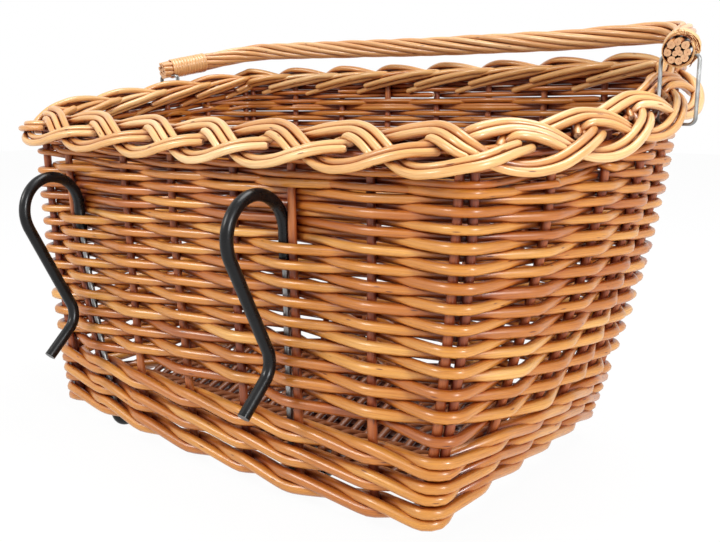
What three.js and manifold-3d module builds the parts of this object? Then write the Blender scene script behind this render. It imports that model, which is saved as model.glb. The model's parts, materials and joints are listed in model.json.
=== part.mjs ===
// Wicker bicycle basket with a twisted bail handle and two steel hook rods.
// Millimetres, +Z up. X runs along the flat hook side, which faces -Y.
// The origin is the bottom centre of the object's box, on the surface that the two skids stand on.
import * as THREE from "three";
import { mergeVertices } from "three/addons/utils/BufferGeometryUtils.js";
import Module from "manifold-3d";

// Willow rods and the gaps between them.
const stakeDiameter = 5;
const stakeSides = 4;
const stakeLengthCount = 3;
const weaverThickness = 4.2;
const weaverHeight = 6;
const waleThickness = 4.4;
const waleHeight = 4.5;
const clearance = 0.3;
const weaveClearance = 0.65;
const turnClearance = 1.8;

// Base outline, through the stakes' centres, and the woven base inside it.
const baseLength = 303;
const baseDepth = 180;
const stickDiameter = 7;
const stickSides = 8;
const baseWeaverWidth = 17;
const baseWeaverThickness = 3;
const baseWeaverPitch = 18;
const baseWeaverRows = 15;
const baseLift = 0.3;

// Rim outline, through the stakes' centres.
const hookSideLength = 340;
const backSideLength = 372;
const rimFrontReach = 93;
const rimBackReach = 122;
const rightEndBow = 23;
const leftEndBow = 15;
const backBow = 21;
const bowPower = 2.5;
const flarePower = 1.6;

// Heights above the underside of the base.
const hookSideHeight = 170;
const backSideHeight = 211;
const rightRisePower = 1.6;
const leftRisePower = 0.75;

// Stakes: hand-set places along the hook side, even spacing elsewhere, two at each corner.
const hookStakesBelow = [-110, -68, -21, 25, 67, 118];
const hookStakesAbove = [-140.5, -80, -34, 19, 64, 116];
const endStakes = 4;
const backStakes = 7;
const cornerPairSpacing = 7.6;
const stakeFoot = 1;

// Rows.
const waleRoundCount = 3;
const walePitch = 4.9;
const waleFirstHeight = 3;
const rowsAboveWale = 0.6;
const randRoundCount = 18;
const weaverRoundCount = 3;
const packReach = 4;
const packTopAllowance = 1.4;

// Plaited border of three flat strands.
const borderPeriodCount = 8;
const borderHalfWidth = 13;
const borderHalfHeight = 4.4;
const borderTilt = THREE.MathUtils.degToRad(38);
const borderOut = 5.5;
const borderUp = 16;
const strandWidth = 10.5;
const strandThickness = 4.6;
const periodStepCount = 8;
const borderSampleCount = 2400;
const borderPatchStepCount = 4;

// Hook rods, one beside the second stake from each end of the hook side, and their sleeves.
const rodDiameter = 4;
const rodSides = 5;
const sleeveDiameter = 7;
const sleeveSides = 6;
const sleeveGap = 0.8;
const hookLeans = [14, 4];
const hookTopHeight = 138;
const hookTopRadius = 22.5;
const hookSlant = THREE.MathUtils.degToRad(26);
const hookKneeReach = 17;
const hookKneeRadius = 14;
const hookTipSlant = THREE.MathUtils.degToRad(43);
const hookTipLength = 22;
const sleeveLowerEnd = 118;
const sleeveTipCover = 1.5;
const skidDrop = 11.5;
const skidBend = 8;
const skidRise = 2;
const bareSkidEnd = 14;

// Handle, its lashings and its two wire links.
const handleRadius = 6.6;
const handleLobes = 6;
const handleLobeDepth = 0.6;
const handleTwistLength = 220;
const handleStep = 18;
const pivotDepth = 50;
const handleAboveBorder = -3;
const handleTail = 6;
const handleMiddleReach = 188;
const handleMiddleDepth = 126.5;
const handleMiddleHeight = 253;
const handleBend = 26;
const lashingStart = 5.6;
const lashingLength = 28;
const lashingThickness = 1.1;
const lashingRibDepth = 0.4;
const lashingRibs = 5;
const lashingSides = 10;
const linkWire = 2.2;
const linkSides = 6;
const linkCorner = 1.5;
const linkPlay = 1.6;
const linkEyeReach = -4.5;
const linkBoreGap = 0.5;
const boreSides = 10;

// Straight steps in each kind of bend.
const bendSteps = 4;
const hookCrownSteps = 10;
const hookKneeSteps = 5;

const stakeRadius = stakeDiameter / 2;
const stickRadius = stickDiameter / 2;
const rodRadius = rodDiameter / 2;
const sleeveRadius = sleeveDiameter / 2;
const up = new THREE.Vector3(0, 0, 1);
const right = new THREE.Vector3(1, 0, 0);

function finish(color, roughness, metalness = 0) {
  return new THREE.MeshStandardMaterial({ color, roughness, metalness });
}
const willowWeaver = finish(0xd29a57, 0.35);
const willowStake = finish(0xb87a3f, 0.45);
const willowBorder = finish(0xdba868, 0.35);
const willowBase = finish(0xb98548, 0.5);
const caneLashing = finish(0xe0bb80, 0.45);
const blackSleeve = finish(0x17191b, 0.35);
const zincSteel = finish(0x9a9da0, 0.35, 1);

// The outlines have one side per whole number of s: hook side, right end, back, left end.
function sideOfOutline(s) {
  return [Math.floor(s) % 4, s - Math.floor(s)];
}
function baseOutline(s) {
  const [side, u] = sideOfOutline(s);
  const across = [u - 0.5, 0.5, 0.5 - u, -0.5][side];
  const along = [-0.5, u - 0.5, 0.5, 0.5 - u][side];
  return new THREE.Vector3(across * baseLength, along * baseDepth, 0);
}
// At the rim the hook side stays straight, and the ends and the back bow outwards.
function rimOutline(s) {
  const [side, u] = sideOfOutline(s);
  const bow = 1 - Math.abs(2 * u - 1) ** bowPower;
  const fromHook = side === 3 ? 1 - u : u;
  const endBow = side === 1 ? rightEndBow : leftEndBow;
  const endX = THREE.MathUtils.lerp(hookSideLength, backSideLength, fromHook) / 2 + endBow * bow;
  const endY = THREE.MathUtils.lerp(-rimFrontReach, rimBackReach, fromHook);
  if (side === 0) return new THREE.Vector3((u - 0.5) * hookSideLength, -rimFrontReach, 0);
  if (side === 1) return new THREE.Vector3(endX, endY, 0);
  if (side === 2) return new THREE.Vector3((0.5 - u) * backSideLength, rimBackReach + backBow * bow, 0);
  return new THREE.Vector3(-endX, endY, 0);
}
// The wall's top edge is level on the hook side and on the back. From the hook side it rises
// late along the right end and early along the left end.
function wallHeight(s) {
  const [side, u] = sideOfOutline(s);
  const rise = [0, u ** rightRisePower, 1, (1 - u) ** leftRisePower][side];
  return THREE.MathUtils.lerp(hookSideHeight, backSideHeight, rise);
}

// A stake stands on the base outline and leans out to the rim outline. It follows the wall's
// flare in straight lengths, so that every row can lie the same distance from it.
function stakeAt(sBelow, sAbove) {
  return { below: baseOutline(sBelow), above: rimOutline(sAbove), height: wallHeight(sAbove) };
}
function flareAt(share) {
  const knot = Math.min(Math.floor(share * stakeLengthCount), stakeLengthCount - 1);
  const curve = (k) => 1 - (1 - k / stakeLengthCount) ** flarePower;
  return THREE.MathUtils.lerp(curve(knot), curve(knot + 1), share * stakeLengthCount - knot);
}
function knotHeights(stake) {
  return Array.from({ length: stakeLengthCount }, (_, k) => ((k + 1) / stakeLengthCount) * stake.height);
}
function stakePoint(stake, height) {
  const flare = flareAt(THREE.MathUtils.clamp(height / stake.height, 0, 1));
  return stake.below.clone().lerp(stake.above, flare).setZ(height);
}

// Stations in order round the basket, each one stake or a corner's pair.
function cornerStation(corner) {
  const sides = [baseLength, baseDepth, baseLength, baseDepth];
  const endRim = rimFrontReach + rimBackReach;
  const rims = [hookSideLength, endRim, backSideLength, endRim];
  const last = (corner + 3) % 4;
  const half = cornerPairSpacing / 2;
  return [
    stakeAt(last + 1 - half / sides[last], last + 1 - half / rims[last]),
    stakeAt(corner + half / sides[corner], corner + half / rims[corner]),
  ];
}
function evenStations(side, count) {
  return Array.from({ length: count }, (_, i) => {
    const s = side + (i + 1) / (count + 1);
    return [stakeAt(s, s)];
  });
}
function hookStations() {
  return hookStakesBelow.map((x, i) => [
    stakeAt(x / baseLength + 0.5, hookStakesAbove[i] / hookSideLength + 0.5),
  ]);
}
const stations = [
  cornerStation(0),
  ...hookStations(),
  cornerStation(1),
  ...evenStations(1, endStakes),
  cornerStation(2),
  ...evenStations(2, backStakes),
  cornerStation(3),
  ...evenStations(3, endStakes),
];
const stationCount = stations.length;
const firstEndStation = hookStakesBelow.length + 2;

// The left rod stands on the right of its stake, and the right rod on the left.
const hookRods = [
  { name: "left", station: 1, side: 1, lean: hookLeans[0] },
  { name: "right", station: hookStakesBelow.length - 1, side: -1, lean: hookLeans[1] },
];
const rodSpacing = stakeRadius + sleeveRadius + clearance;
function rodPoint(rod, height) {
  return stakePoint(stations[rod.station][0], height).addScaledVector(right, rod.side * rodSpacing);
}
function hookReachAt(height) {
  const rise = THREE.MathUtils.clamp(height - hookTopHeight, 0, hookTopRadius);
  return hookTopRadius - Math.sqrt(hookTopRadius ** 2 - rise ** 2);
}

// The uprights that a row passes at a station: stakes, and a hook rod where it is in the wall.
function uprights(station, height) {
  const list = stations[station].map((stake) => ({ p: stakePoint(stake, height), radius: stakeRadius }));
  const rod = hookRods.find((one) => one.station === station);
  if (rod && hookReachAt(height - weaverHeight / 2) < rodRadius) {
    const radius = height + weaverHeight > sleeveLowerEnd ? sleeveRadius : rodRadius;
    const upright = { p: rodPoint(rod, height), radius };
    if (rod.side > 0) list.push(upright);
    else list.unshift(upright);
  }
  return list;
}
function outwardAt(station, height, index) {
  const here = uprights(station, height);
  const previous = uprights((station + stationCount - 1) % stationCount, height);
  const next = uprights((station + 1) % stationCount, height);
  const before = index > 0 ? here[index - 1].p : previous.at(-1).p;
  const after = index < here.length - 1 ? here[index + 1].p : next[0].p;
  const arriving = here[index].p.clone().sub(before).setZ(0).normalize();
  const leaving = after.clone().sub(here[index].p).setZ(0).normalize();
  const along = arriving.add(leaving).normalize();
  return new THREE.Vector3(along.y, -along.x, 0);
}

// A section is a list of places on a unit outline, along a ring's two half-axes.
function regular(sides, turn = 0) {
  return Array.from({ length: sides }, (_, i) => {
    const angle = turn + (2 * Math.PI * i) / sides;
    return [Math.cos(angle), Math.sin(angle)];
  });
}
const diamond = regular(4);

function closedGeometry(positions, triangles) {
  const corner = (i) => new THREE.Vector3().fromArray(positions, 3 * i);
  let volume = 0;
  for (let i = 0; i < triangles.length; i += 3) {
    const across = corner(triangles[i + 1]).cross(corner(triangles[i + 2]));
    volume += corner(triangles[i]).dot(across);
  }
  if (volume < 0) triangles.reverse();
  const geometry = new THREE.BufferGeometry();
  geometry.setAttribute("position", new THREE.Float32BufferAttribute(positions, 3));
  geometry.setIndex(triangles);
  geometry.computeVertexNormals();
  return geometry;
}

// A solid rod through rings, each with a centre and two half-axes. A closed rod joins its ends,
// and a bore, as a share of the section, makes it a tube.
function rodThrough(rings, section, { closed = false, bore = 0 } = {}) {
  const positions = [];
  const triangles = [];
  const n = section.length;
  const layer = rings.length * n;
  for (const scale of bore > 0 ? [1, bore] : [1]) {
    for (const ring of rings) {
      for (const [a, b] of section) {
        const p = ring.centre.clone().addScaledVector(ring.a, scale * a);
        p.addScaledVector(ring.b, scale * b);
        positions.push(p.x, p.y, p.z);
      }
    }
  }
  const quad = (p, q, r, s) => triangles.push(p, q, r, p, r, s);
  const spans = closed ? rings.length : rings.length - 1;
  for (let i = 0; i < spans; i++) {
    const here = i * n;
    const next = ((i + 1) % rings.length) * n;
    for (let j = 0; j < n; j++) {
      const k = (j + 1) % n;
      quad(here + j, here + k, next + k, next + j);
      if (bore > 0) quad(layer + here + k, layer + here + j, layer + next + j, layer + next + k);
    }
  }
  const last = layer - n;
  if (!closed && bore === 0) {
    for (let j = 1; j < n - 1; j++) triangles.push(0, j + 1, j, last, last + j, last + j + 1);
  }
  if (!closed && bore > 0) {
    for (let j = 0; j < n; j++) {
      const k = (j + 1) % n;
      quad(k, j, layer + j, layer + k);
      quad(last + j, last + k, layer + last + k, layer + last + j);
    }
  }
  return closedGeometry(positions, triangles);
}

// Rings square to a route. The first half-axis lies as near to a steady direction as it can.
function ringsAlong(points, radius, steady, closed = false) {
  const count = points.length;
  const at = (i) => points[closed ? (i + count) % count : THREE.MathUtils.clamp(i, 0, count - 1)];
  return points.map((centre, i) => {
    const tangent = at(i + 1).clone().sub(at(i - 1)).normalize();
    const a = steady.clone().addScaledVector(tangent, -steady.dot(tangent)).normalize();
    const b = tangent.clone().cross(a);
    return { centre, a: a.multiplyScalar(radius), b: b.multiplyScalar(radius) };
  });
}

// A route through corners, each rounded by an arc.
function rounded(corners, radius, closed = false) {
  const count = corners.length;
  return corners.flatMap((corner, i) => {
    if (!closed && (i === 0 || i === count - 1)) return [corner];
    const arriving = corner.clone().sub(corners[(i + count - 1) % count]).normalize();
    const leaving = corners[(i + 1) % count].clone().sub(corner).normalize();
    const turn = arriving.angleTo(leaving);
    const start = corner.clone().addScaledVector(arriving, -radius * Math.tan(turn / 2));
    const inward = leaving.clone().addScaledVector(arriving, -leaving.dot(arriving)).normalize();
    const centre = start.clone().addScaledVector(inward, radius);
    return Array.from({ length: bendSteps + 1 }, (_, k) => {
      const angle = (turn * k) / bendSteps;
      const p = centre.clone().addScaledVector(inward, -radius * Math.cos(angle));
      return p.addScaledVector(arriving, radius * Math.sin(angle));
    });
  });
}
function withSteps(points, step) {
  return points.flatMap((p, i) => {
    if (i === points.length - 1) return [p];
    const pieces = Math.max(1, Math.round(p.distanceTo(points[i + 1]) / step));
    return Array.from({ length: pieces }, (_, k) => p.clone().lerp(points[i + 1], k / pieces));
  });
}

const basket = new THREE.Group();
const wicker = new THREE.Group();
basket.add(wicker);
function place(group, name, geometry, material) {
  const mesh = new THREE.Mesh(geometry, material);
  mesh.name = name;
  group.add(mesh);
  return mesh;
}

// One rod passing a station in front (side 1) or behind (side -1) at a height.
function passing(station, height, side, thickness, rodHeight) {
  const here = uprights(station, height);
  const widest = Math.max(...here.map((upright) => upright.radius));
  const offset = side * (widest + weaveClearance + thickness / 2);
  return here.map((upright, index) => {
    const out = outwardAt(station, height, index);
    const centre = upright.p.clone().addScaledVector(out, offset);
    return { centre, a: out.multiplyScalar(thickness / 2), b: up.clone().multiplyScalar(rodHeight / 2) };
  });
}

// Three-rod wale at the foot of the wall. Each strand passes in front of two stations and behind
// the third, and steps up over the other two between the last station and the first.
for (let strand = 0; strand < 3; strand++) {
  const rings = [];
  for (let n = 0; n < waleRoundCount * stationCount; n++) {
    const round = Math.floor(n / stationCount);
    const height = waleFirstHeight + (3 * round + strand) * walePitch;
    const side = (n - strand + 3) % 3 === 0 ? -1 : 1;
    rings.push(...passing(n % stationCount, height, side, waleThickness, waleHeight));
  }
  place(wicker, `foot_wale_${"abc"[strand]}`, rodThrough(rings, diamond), willowWeaver);
}

// Randing: a weaver passes in front of one station and behind the next. The number of stations
// is odd, so each round falls the other way from the one below it.
const waleTop = waleFirstHeight + (3 * waleRoundCount - 1) * walePitch + waleHeight / 2;
const firstRow = waleTop + rowsAboveWale + weaverHeight / 2;
const rowPitch = (hookSideHeight - waleTop - rowsAboveWale) / randRoundCount;
function rowHeight(row) {
  return firstRow + row * rowPitch;
}
// Where a hook comes out through the wall, the row in its way passes behind.
function rowSide(row, station) {
  const rodHere = hookRods.some((rod) => rod.station === station);
  const outOfWall = hookReachAt(rowHeight(row) + weaverHeight / 2) > clearance;
  const belowHook = rowHeight(row) - weaverHeight / 2 < hookTopHeight + hookTopRadius;
  const inTheWay = rodHere && outOfWall && belowHook;
  return (row + station) % 2 === 0 && !inTheWay ? 1 : -1;
}
function rowRings(row, station) {
  return passing(station, rowHeight(row), rowSide(row, station), weaverThickness, weaverHeight);
}
for (let weaver = 0; weaver < randRoundCount / weaverRoundCount; weaver++) {
  const rings = [];
  for (let row = weaver * weaverRoundCount; row < (weaver + 1) * weaverRoundCount; row++) {
    for (let station = 0; station < stationCount; station++) rings.push(...rowRings(row, station));
  }
  place(wicker, `weaver_${weaver + 1}`, rodThrough(rings, diamond), willowWeaver);
}

// Packing: one weaver goes to and fro in rows that get shorter as they rise, and builds the ends
// and the back up to the rising rim. At the end of a row it turns round a stake.
const packRowCount = Math.floor((backSideHeight + packTopAllowance - hookSideHeight) / rowPitch);
function rowFits(row, station) {
  const rowTop = rowHeight(row) + weaverHeight / 2;
  return stations[station][0].height + packReach > rowTop;
}
function packingTurn(row, station, rightward) {
  const height = (rowHeight(row) + rowHeight(row + 1)) / 2;
  const index = rightward ? stations[station].length - 1 : 0;
  const stake = stakePoint(stations[station][index], height);
  const out = outwardAt(station, height, index);
  const along = new THREE.Vector3(-out.y, out.x, 0).multiplyScalar(rightward ? 1 : -1);
  const reach = stakeRadius + turnClearance + weaverThickness / 2;
  const facing = rowSide(row, station) * (rightward ? 1 : -1);
  return {
    centre: stake.addScaledVector(along, reach),
    a: along.multiplyScalar((facing * weaverThickness) / 2),
    b: up.clone().multiplyScalar(weaverHeight / 2),
  };
}
const packing = [];
let packStation = firstEndStation;
for (let row = randRoundCount; row < randRoundCount + packRowCount; row++) {
  const rightward = (row - randRoundCount) % 2 === 0;
  const lastRow = row === randRoundCount + packRowCount - 1;
  const step = rightward ? 1 : -1;
  const fitRow = lastRow ? row : row + 1;
  let end = rightward ? stationCount - 1 : firstEndStation;
  while (!rowFits(fitRow, end)) end -= step;
  for (let station = packStation; station !== end + step; station += step) {
    const rings = rowRings(row, station);
    if (!rightward) rings.reverse().forEach((ring) => ring.a.negate());
    packing.push(...rings);
  }
  if (!lastRow) packing.push(packingTurn(row, end, rightward));
  packStation = end;
}
place(wicker, "packing_weaver", rodThrough(packing, diamond), willowWeaver);

// Base: sticks along the basket, and one flat weaver to and fro over and under them.
const baseMiddle = baseLift + baseWeaverThickness + weaveClearance + stickRadius;
const waleInside = stakeRadius + weaveClearance + waleThickness + clearance;
const edgeStick = baseDepth / 2 - waleInside - baseWeaverThickness - weaveClearance - stickRadius;
const endStakeDepths = evenStations(1, endStakes).map(([stake]) => stake.below.y);
const stickDepths = [-edgeStick, ...endStakeDepths, edgeStick];
// An inner stick ends against the wale strand that passes behind the end stake in line with it.
function stickReach(stick, end) {
  const inner = stick > 0 && stick <= endStakes;
  if (!inner) return baseLength / 2 - waleInside;
  const station = end > 0 ? firstEndStation + stick - 1 : stationCount - stick;
  const height = waleFirstHeight + (station % 3) * walePitch;
  return Math.abs(stakePoint(stations[station][0], height).x) - waleInside;
}
stickDepths.forEach((y, i) => {
  const ends = [-1, 1].map((end) => new THREE.Vector3(end * stickReach(i, end), y, baseMiddle));
  const rings = ringsAlong(ends, stickRadius, up);
  place(wicker, `base_stick_${i + 1}`, rodThrough(rings, regular(stickSides)), willowBase);
});
const baseRings = [];
const baseOffset = stickRadius + weaveClearance + baseWeaverThickness / 2;
for (let row = 0; row < baseWeaverRows; row++) {
  const x = (row - (baseWeaverRows - 1) / 2) * baseWeaverPitch;
  const forward = row % 2 === 0;
  const facing = forward ? 1 : -1;
  const order = forward ? stickDepths : [...stickDepths].reverse();
  const a = right.clone().multiplyScalar(baseWeaverWidth / 2);
  order.forEach((y, i) => {
    const stick = forward ? i : order.length - 1 - i;
    const above = (row + stick) % 2 === 0 ? 1 : -1;
    const centre = new THREE.Vector3(x, y, baseMiddle + above * baseOffset);
    baseRings.push({ centre, a, b: up.clone().multiplyScalar((facing * baseWeaverThickness) / 2) });
    if (i < order.length - 1 || row === baseWeaverRows - 1) return;
    for (const quarter of [1, 2, 3]) {
      const angle = (quarter * Math.PI) / 4;
      const outward = new THREE.Vector3(0, Math.sign(y) * Math.sin(angle), above * Math.cos(angle));
      const round = new THREE.Vector3(x + (baseWeaverPitch * quarter) / 4, y, baseMiddle);
      round.addScaledVector(outward, baseOffset);
      const b = outward.multiplyScalar((above * facing * baseWeaverThickness) / 2);
      baseRings.push({ centre: round, a, b });
    }
  });
}
place(wicker, "base_weaver", rodThrough(baseRings, diamond), willowBase);

// Border: three strands plaited along a smooth path outside and above the wall's edge. Each
// leaves an edge of the plait over the next strand and comes to the other edge under it.
const borderPath = new THREE.CatmullRomCurve3(
  stations.flatMap((pair, station) =>
    pair.map((stake, index) => {
      const out = outwardAt(station, stake.height, index);
      return stakePoint(stake, stake.height).addScaledVector(out, borderOut).addScaledVector(up, borderUp);
    }),
  ),
  true,
);
borderPath.arcLengthDivisions = borderSampleCount / 2;
function borderFrame(share) {
  const centre = borderPath.getPointAt(share);
  const along = borderPath.getTangentAt(share).setZ(0).normalize();
  const outward = new THREE.Vector3(along.y, -along.x, 0);
  const across = outward.clone().multiplyScalar(Math.cos(borderTilt));
  across.addScaledVector(up, -Math.sin(borderTilt));
  const lift = outward.multiplyScalar(Math.sin(borderTilt)).addScaledVector(up, Math.cos(borderTilt));
  return { centre, across, lift };
}
// The shares of the path at which it passes the handle's pivots, right end first.
function sharesAtPivot() {
  const samples = Array.from({ length: borderSampleCount }, (_, i) => i / borderSampleCount);
  return [1, -1].map((end) => {
    const onEnd = samples.filter((share) => borderPath.getPointAt(share).x * end > baseLength / 2);
    const miss = (share) => Math.abs(borderPath.getPointAt(share).y - pivotDepth);
    return onEnd.reduce((best, share) => (miss(share) < miss(best) ? share : best));
  });
}
// An eye of the plait falls on each pivot, a third of a period being the least that repeats.
const [rightShare, leftShare] = sharesAtPivot();
const thirds = 3 * borderPeriodCount;
const backThirds = Math.round(thirds * (leftShare - rightShare));
function shareAtThird(third) {
  const onBack = third <= backThirds;
  const backShare = rightShare + ((leftShare - rightShare) * third) / backThirds;
  const frontSpan = 1 - (leftShare - rightShare);
  const frontShare = leftShare + (frontSpan * (third - backThirds)) / (thirds - backThirds);
  return (onBack ? backShare : frontShare) % 1;
}
const eyeAngle = Math.PI / 6;
const strands = [0, 1, 2].map((strand) =>
  Array.from({ length: borderPeriodCount * periodStepCount }, (_, i) => {
    const third = (3 * i) / periodStepCount;
    const { centre, across, lift } = borderFrame(shareAtThird(third));
    const angle = eyeAngle + ((third + strand) * 2 * Math.PI) / 3;
    centre.addScaledVector(across, borderHalfWidth * Math.sin(angle));
    centre.addScaledVector(lift, -borderHalfHeight * Math.sin(2 * angle));
    const a = across.multiplyScalar(strandWidth / 2);
    return { centre, a, b: lift.multiplyScalar(strandThickness / 2) };
  }),
);
strands.forEach((rings, i) => {
  const geometry = rodThrough(rings, regular(6), { closed: true });
  place(wicker, `border_strand_${"abc"[i]}`, geometry, willowBorder);
});

// Heights of the border's underside and top over a patch of ground.
function borderHeights(x, y, reachX, reachY) {
  const heights = [];
  for (const rings of strands) {
    rings.forEach((ring, i) => {
      const next = rings[(i + 1) % rings.length];
      const halfStep = ring.centre.distanceTo(next.centre) / borderPatchStepCount / 2;
      for (let k = 0; k < borderPatchStepCount; k++) {
        const p = ring.centre.clone().lerp(next.centre, k / borderPatchStepCount);
        const nearX = Math.abs(p.x - x) < reachX + Math.abs(ring.a.x) + halfStep;
        const nearY = Math.abs(p.y - y) < reachY + Math.abs(ring.a.y) + halfStep;
        const half = Math.hypot(ring.a.z, ring.b.z);
        if (nearX && nearY) heights.push(p.z - half, p.z + half);
      }
    });
  }
  return { under: Math.min(...heights), top: Math.max(...heights) };
}

// Stakes stand from the base to the underside of the border.
stations.forEach((pair, station) => {
  pair.forEach((stake, index) => {
    const head = stakePoint(stake, stake.height);
    const top = borderHeights(head.x, head.y, stakeRadius, stakeRadius).under - clearance;
    const points = [stakeFoot, ...knotHeights(stake)].map((height) => stakePoint(stake, height));
    points.push(head.clone().setZ(top));
    const a = right.clone().multiplyScalar(stakeRadius);
    const b = new THREE.Vector3(0, stakeRadius, 0);
    const rings = points.map((centre) => ({ centre, a, b }));
    const number = String(station + 1).padStart(2, "0") + (pair.length > 1 ? "ab"[index] : "");
    place(wicker, `stake_${number}`, rodThrough(rings, regular(stakeSides)), willowStake);
  });
});

// Hook rods: each runs from under the back edge, as a skid below the base, up inside the hook
// side beside a stake, out through the wall and over, down and out again to its tip.
function arc(centre, radius, from, to, steps) {
  return Array.from({ length: steps + 1 }, (_, i) => {
    const angle = THREE.MathUtils.lerp(from, to, i / steps);
    return new THREE.Vector2(centre.x + radius * Math.cos(angle), centre.y + radius * Math.sin(angle));
  });
}
function hookProfile() {
  const top = new THREE.Vector2(hookTopRadius, hookTopHeight);
  const over = arc(top, hookTopRadius, Math.PI, -hookSlant, hookCrownSteps);
  const down = new THREE.Vector2(-Math.sin(hookSlant), -Math.cos(hookSlant));
  const outward = new THREE.Vector2(Math.cos(hookSlant), -Math.sin(hookSlant));
  const kneeCentreReach = hookKneeReach + hookKneeRadius;
  const toKnee = over.at(-1).x + hookKneeRadius * outward.x - kneeCentreReach;
  const kneeStart = over.at(-1).clone().addScaledVector(down, toKnee / Math.sin(hookSlant));
  const kneeCentre = kneeStart.clone().addScaledVector(outward, hookKneeRadius);
  const kneeEnd = Math.PI + Math.PI / 2 - hookTipSlant;
  const knee = arc(kneeCentre, hookKneeRadius, Math.PI - hookSlant, kneeEnd, hookKneeSteps);
  const tipward = new THREE.Vector2(Math.cos(hookTipSlant), -Math.sin(hookTipSlant));
  return [...over, ...knee, knee.at(-1).clone().addScaledVector(tipward, hookTipLength)];
}
const skidHeight = sleeveRadius * Math.cos(Math.PI / sleeveSides) - skidDrop;
const bore = (rodRadius + sleeveGap) / sleeveRadius;
hookRods.forEach((rod) => {
  const foot = rodPoint(rod, 0);
  const underBack = foot.clone().setY(baseDepth / 2);
  const backTop = underBack.clone().setZ(waleFirstHeight - waleHeight / 2 - clearance);
  const lowest = foot.clone().setZ(skidHeight);
  const wallStart = rodPoint(rod, skidBend + skidHeight + skidRise);
  const skid = rounded([backTop, underBack.clone().setZ(skidHeight), lowest, wallStart], skidBend);
  const knots = knotHeights(stations[rod.station][0]).filter((height) => height < hookTopHeight);
  const wallHeights = [...knots, sleeveLowerEnd];
  const wall = wallHeights.sort((p, q) => p - q).map((height) => rodPoint(rod, height));
  const exit = rodPoint(rod, hookTopHeight);
  const profile = hookProfile();
  const hook = profile.map((p, i) => {
    const share = i / (profile.length - 1);
    return new THREE.Vector3(exit.x + rod.lean * share, exit.y - p.x, p.y);
  });
  const section = regular(rodSides);
  const steel = ringsAlong([...skid, ...wall, ...hook], rodRadius, right);
  place(wicker, `hook_rod_${rod.name}`, rodThrough(steel, section), zincSteel);

  const round = regular(sleeveSides);
  const tipDirection = hook.at(-1).clone().sub(hook.at(-2)).normalize();
  const cover = hook.at(-1).clone().addScaledVector(tipDirection, sleeveTipCover);
  const sleeved = wall.filter((p) => p.z >= sleeveLowerEnd);
  const hookRoute = [...sleeved, ...hook.slice(0, -1), cover];
  const hookTube = ringsAlong(hookRoute, sleeveRadius, right);
  place(wicker, `hook_sleeve_${rod.name}`, rodThrough(hookTube, round, { bore }), blackSleeve);

  const sleeveBack = underBack.clone().setZ(skidHeight).setY(underBack.y - bareSkidEnd);
  const frontBend = skid.slice(-bendSteps - 2, -1);
  const footTube = ringsAlong([sleeveBack, ...frontBend], sleeveRadius, right);
  place(wicker, `foot_sleeve_${rod.name}`, rodThrough(footTube, round, { bore }), blackSleeve);
});

// Links: a wire ring hangs each end of the handle from the border, one leg down through the eye
// of the plait and the other outside it.
const wireRadius = linkWire / 2;
const armRadius = handleRadius + handleLobeDepth;
const linkHalfWidth = armRadius + linkCorner + linkPlay;
const pivots = [
  { name: "right", end: 1, share: rightShare },
  { name: "left", end: -1, share: leftShare },
].map(({ name, end, share }) => {
  const { centre, across } = borderFrame(share);
  const eye = centre.addScaledVector(across, linkEyeReach);
  return { name, end, x: eye.x + end * linkHalfWidth, y: eye.y };
});
const armReach = (pivots[0].x - pivots[1].x) / 2;
const handleMiddle = (pivots[0].x + pivots[1].x) / 2;
const patch = lashingStart + lashingLength / 2;
const borderTop = Math.max(...pivots.map(({ x, y }) => borderHeights(x, y, linkHalfWidth, patch).top));
const boreRadius = (armRadius + clearance) / Math.cos(Math.PI / lashingSides);
const lashingRadius = boreRadius + lashingThickness + lashingRibDepth;
const pivotHeight = borderTop + lashingRadius + handleAboveBorder;
for (const { name, end, x, y } of pivots) {
  const reach = linkHalfWidth - strandWidth / 2;
  const bottom = borderHeights(x, y, reach, wireRadius).under - clearance - wireRadius;
  const inner = x - end * linkHalfWidth;
  const outer = x + end * linkHalfWidth;
  const corners = [
    new THREE.Vector3(inner, y, bottom),
    new THREE.Vector3(outer, y, bottom),
    new THREE.Vector3(outer, y, pivotHeight),
    new THREE.Vector3(inner, y, pivotHeight),
  ];
  const route = rounded(corners, linkCorner, true);
  const rings = ringsAlong(route, wireRadius, new THREE.Vector3(0, 1, 0), true);
  place(wicker, `handle_link_${name}`, rodThrough(rings, regular(linkSides), { closed: true }), zincSteel);
}

// Handle: a twisted bundle of rods in one flat bow. Its group turns about the pivots, and the
// bow lies back over the rear border.
const wasm = await Module();
wasm.setup();
function solidOf(geometry) {
  const bare = new THREE.BufferGeometry();
  const loose = geometry.index ? geometry.toNonIndexed() : geometry;
  bare.setAttribute("position", loose.getAttribute("position"));
  const merged = mergeVertices(bare, 1e-4);
  const mesh = new wasm.Mesh({
    numProp: 3,
    vertProperties: merged.attributes.position.array,
    triVerts: new Uint32Array(merged.index.array),
  });
  return new wasm.Manifold(mesh);
}
function geometryOf(solid) {
  const { vertProperties, triVerts } = solid.getMesh();
  const geometry = new THREE.BufferGeometry();
  geometry.setAttribute("position", new THREE.BufferAttribute(vertProperties, 3));
  geometry.setIndex(new THREE.BufferAttribute(triVerts, 1));
  geometry.computeVertexNormals();
  return geometry;
}
const rise = handleMiddleHeight - pivotHeight;
const reachBack = handleMiddleDepth - pivotDepth;
const handle = new THREE.Group();
handle.position.set(handleMiddle, pivots[0].y, pivotHeight);
handle.rotation.x = Math.atan2(rise, reachBack);
wicker.add(handle);
const bow = Math.hypot(rise, reachBack);
const armEnd = new THREE.Vector3(armReach, 0, 0);
const bowCorner = new THREE.Vector3(handleMiddleReach, bow, 0);
const armDirection = bowCorner.clone().sub(armEnd).normalize();
const tail = armEnd.clone().addScaledVector(armDirection, -handleTail);
const mirrored = (p) => new THREE.Vector3(-p.x, p.y, p.z);
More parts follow.
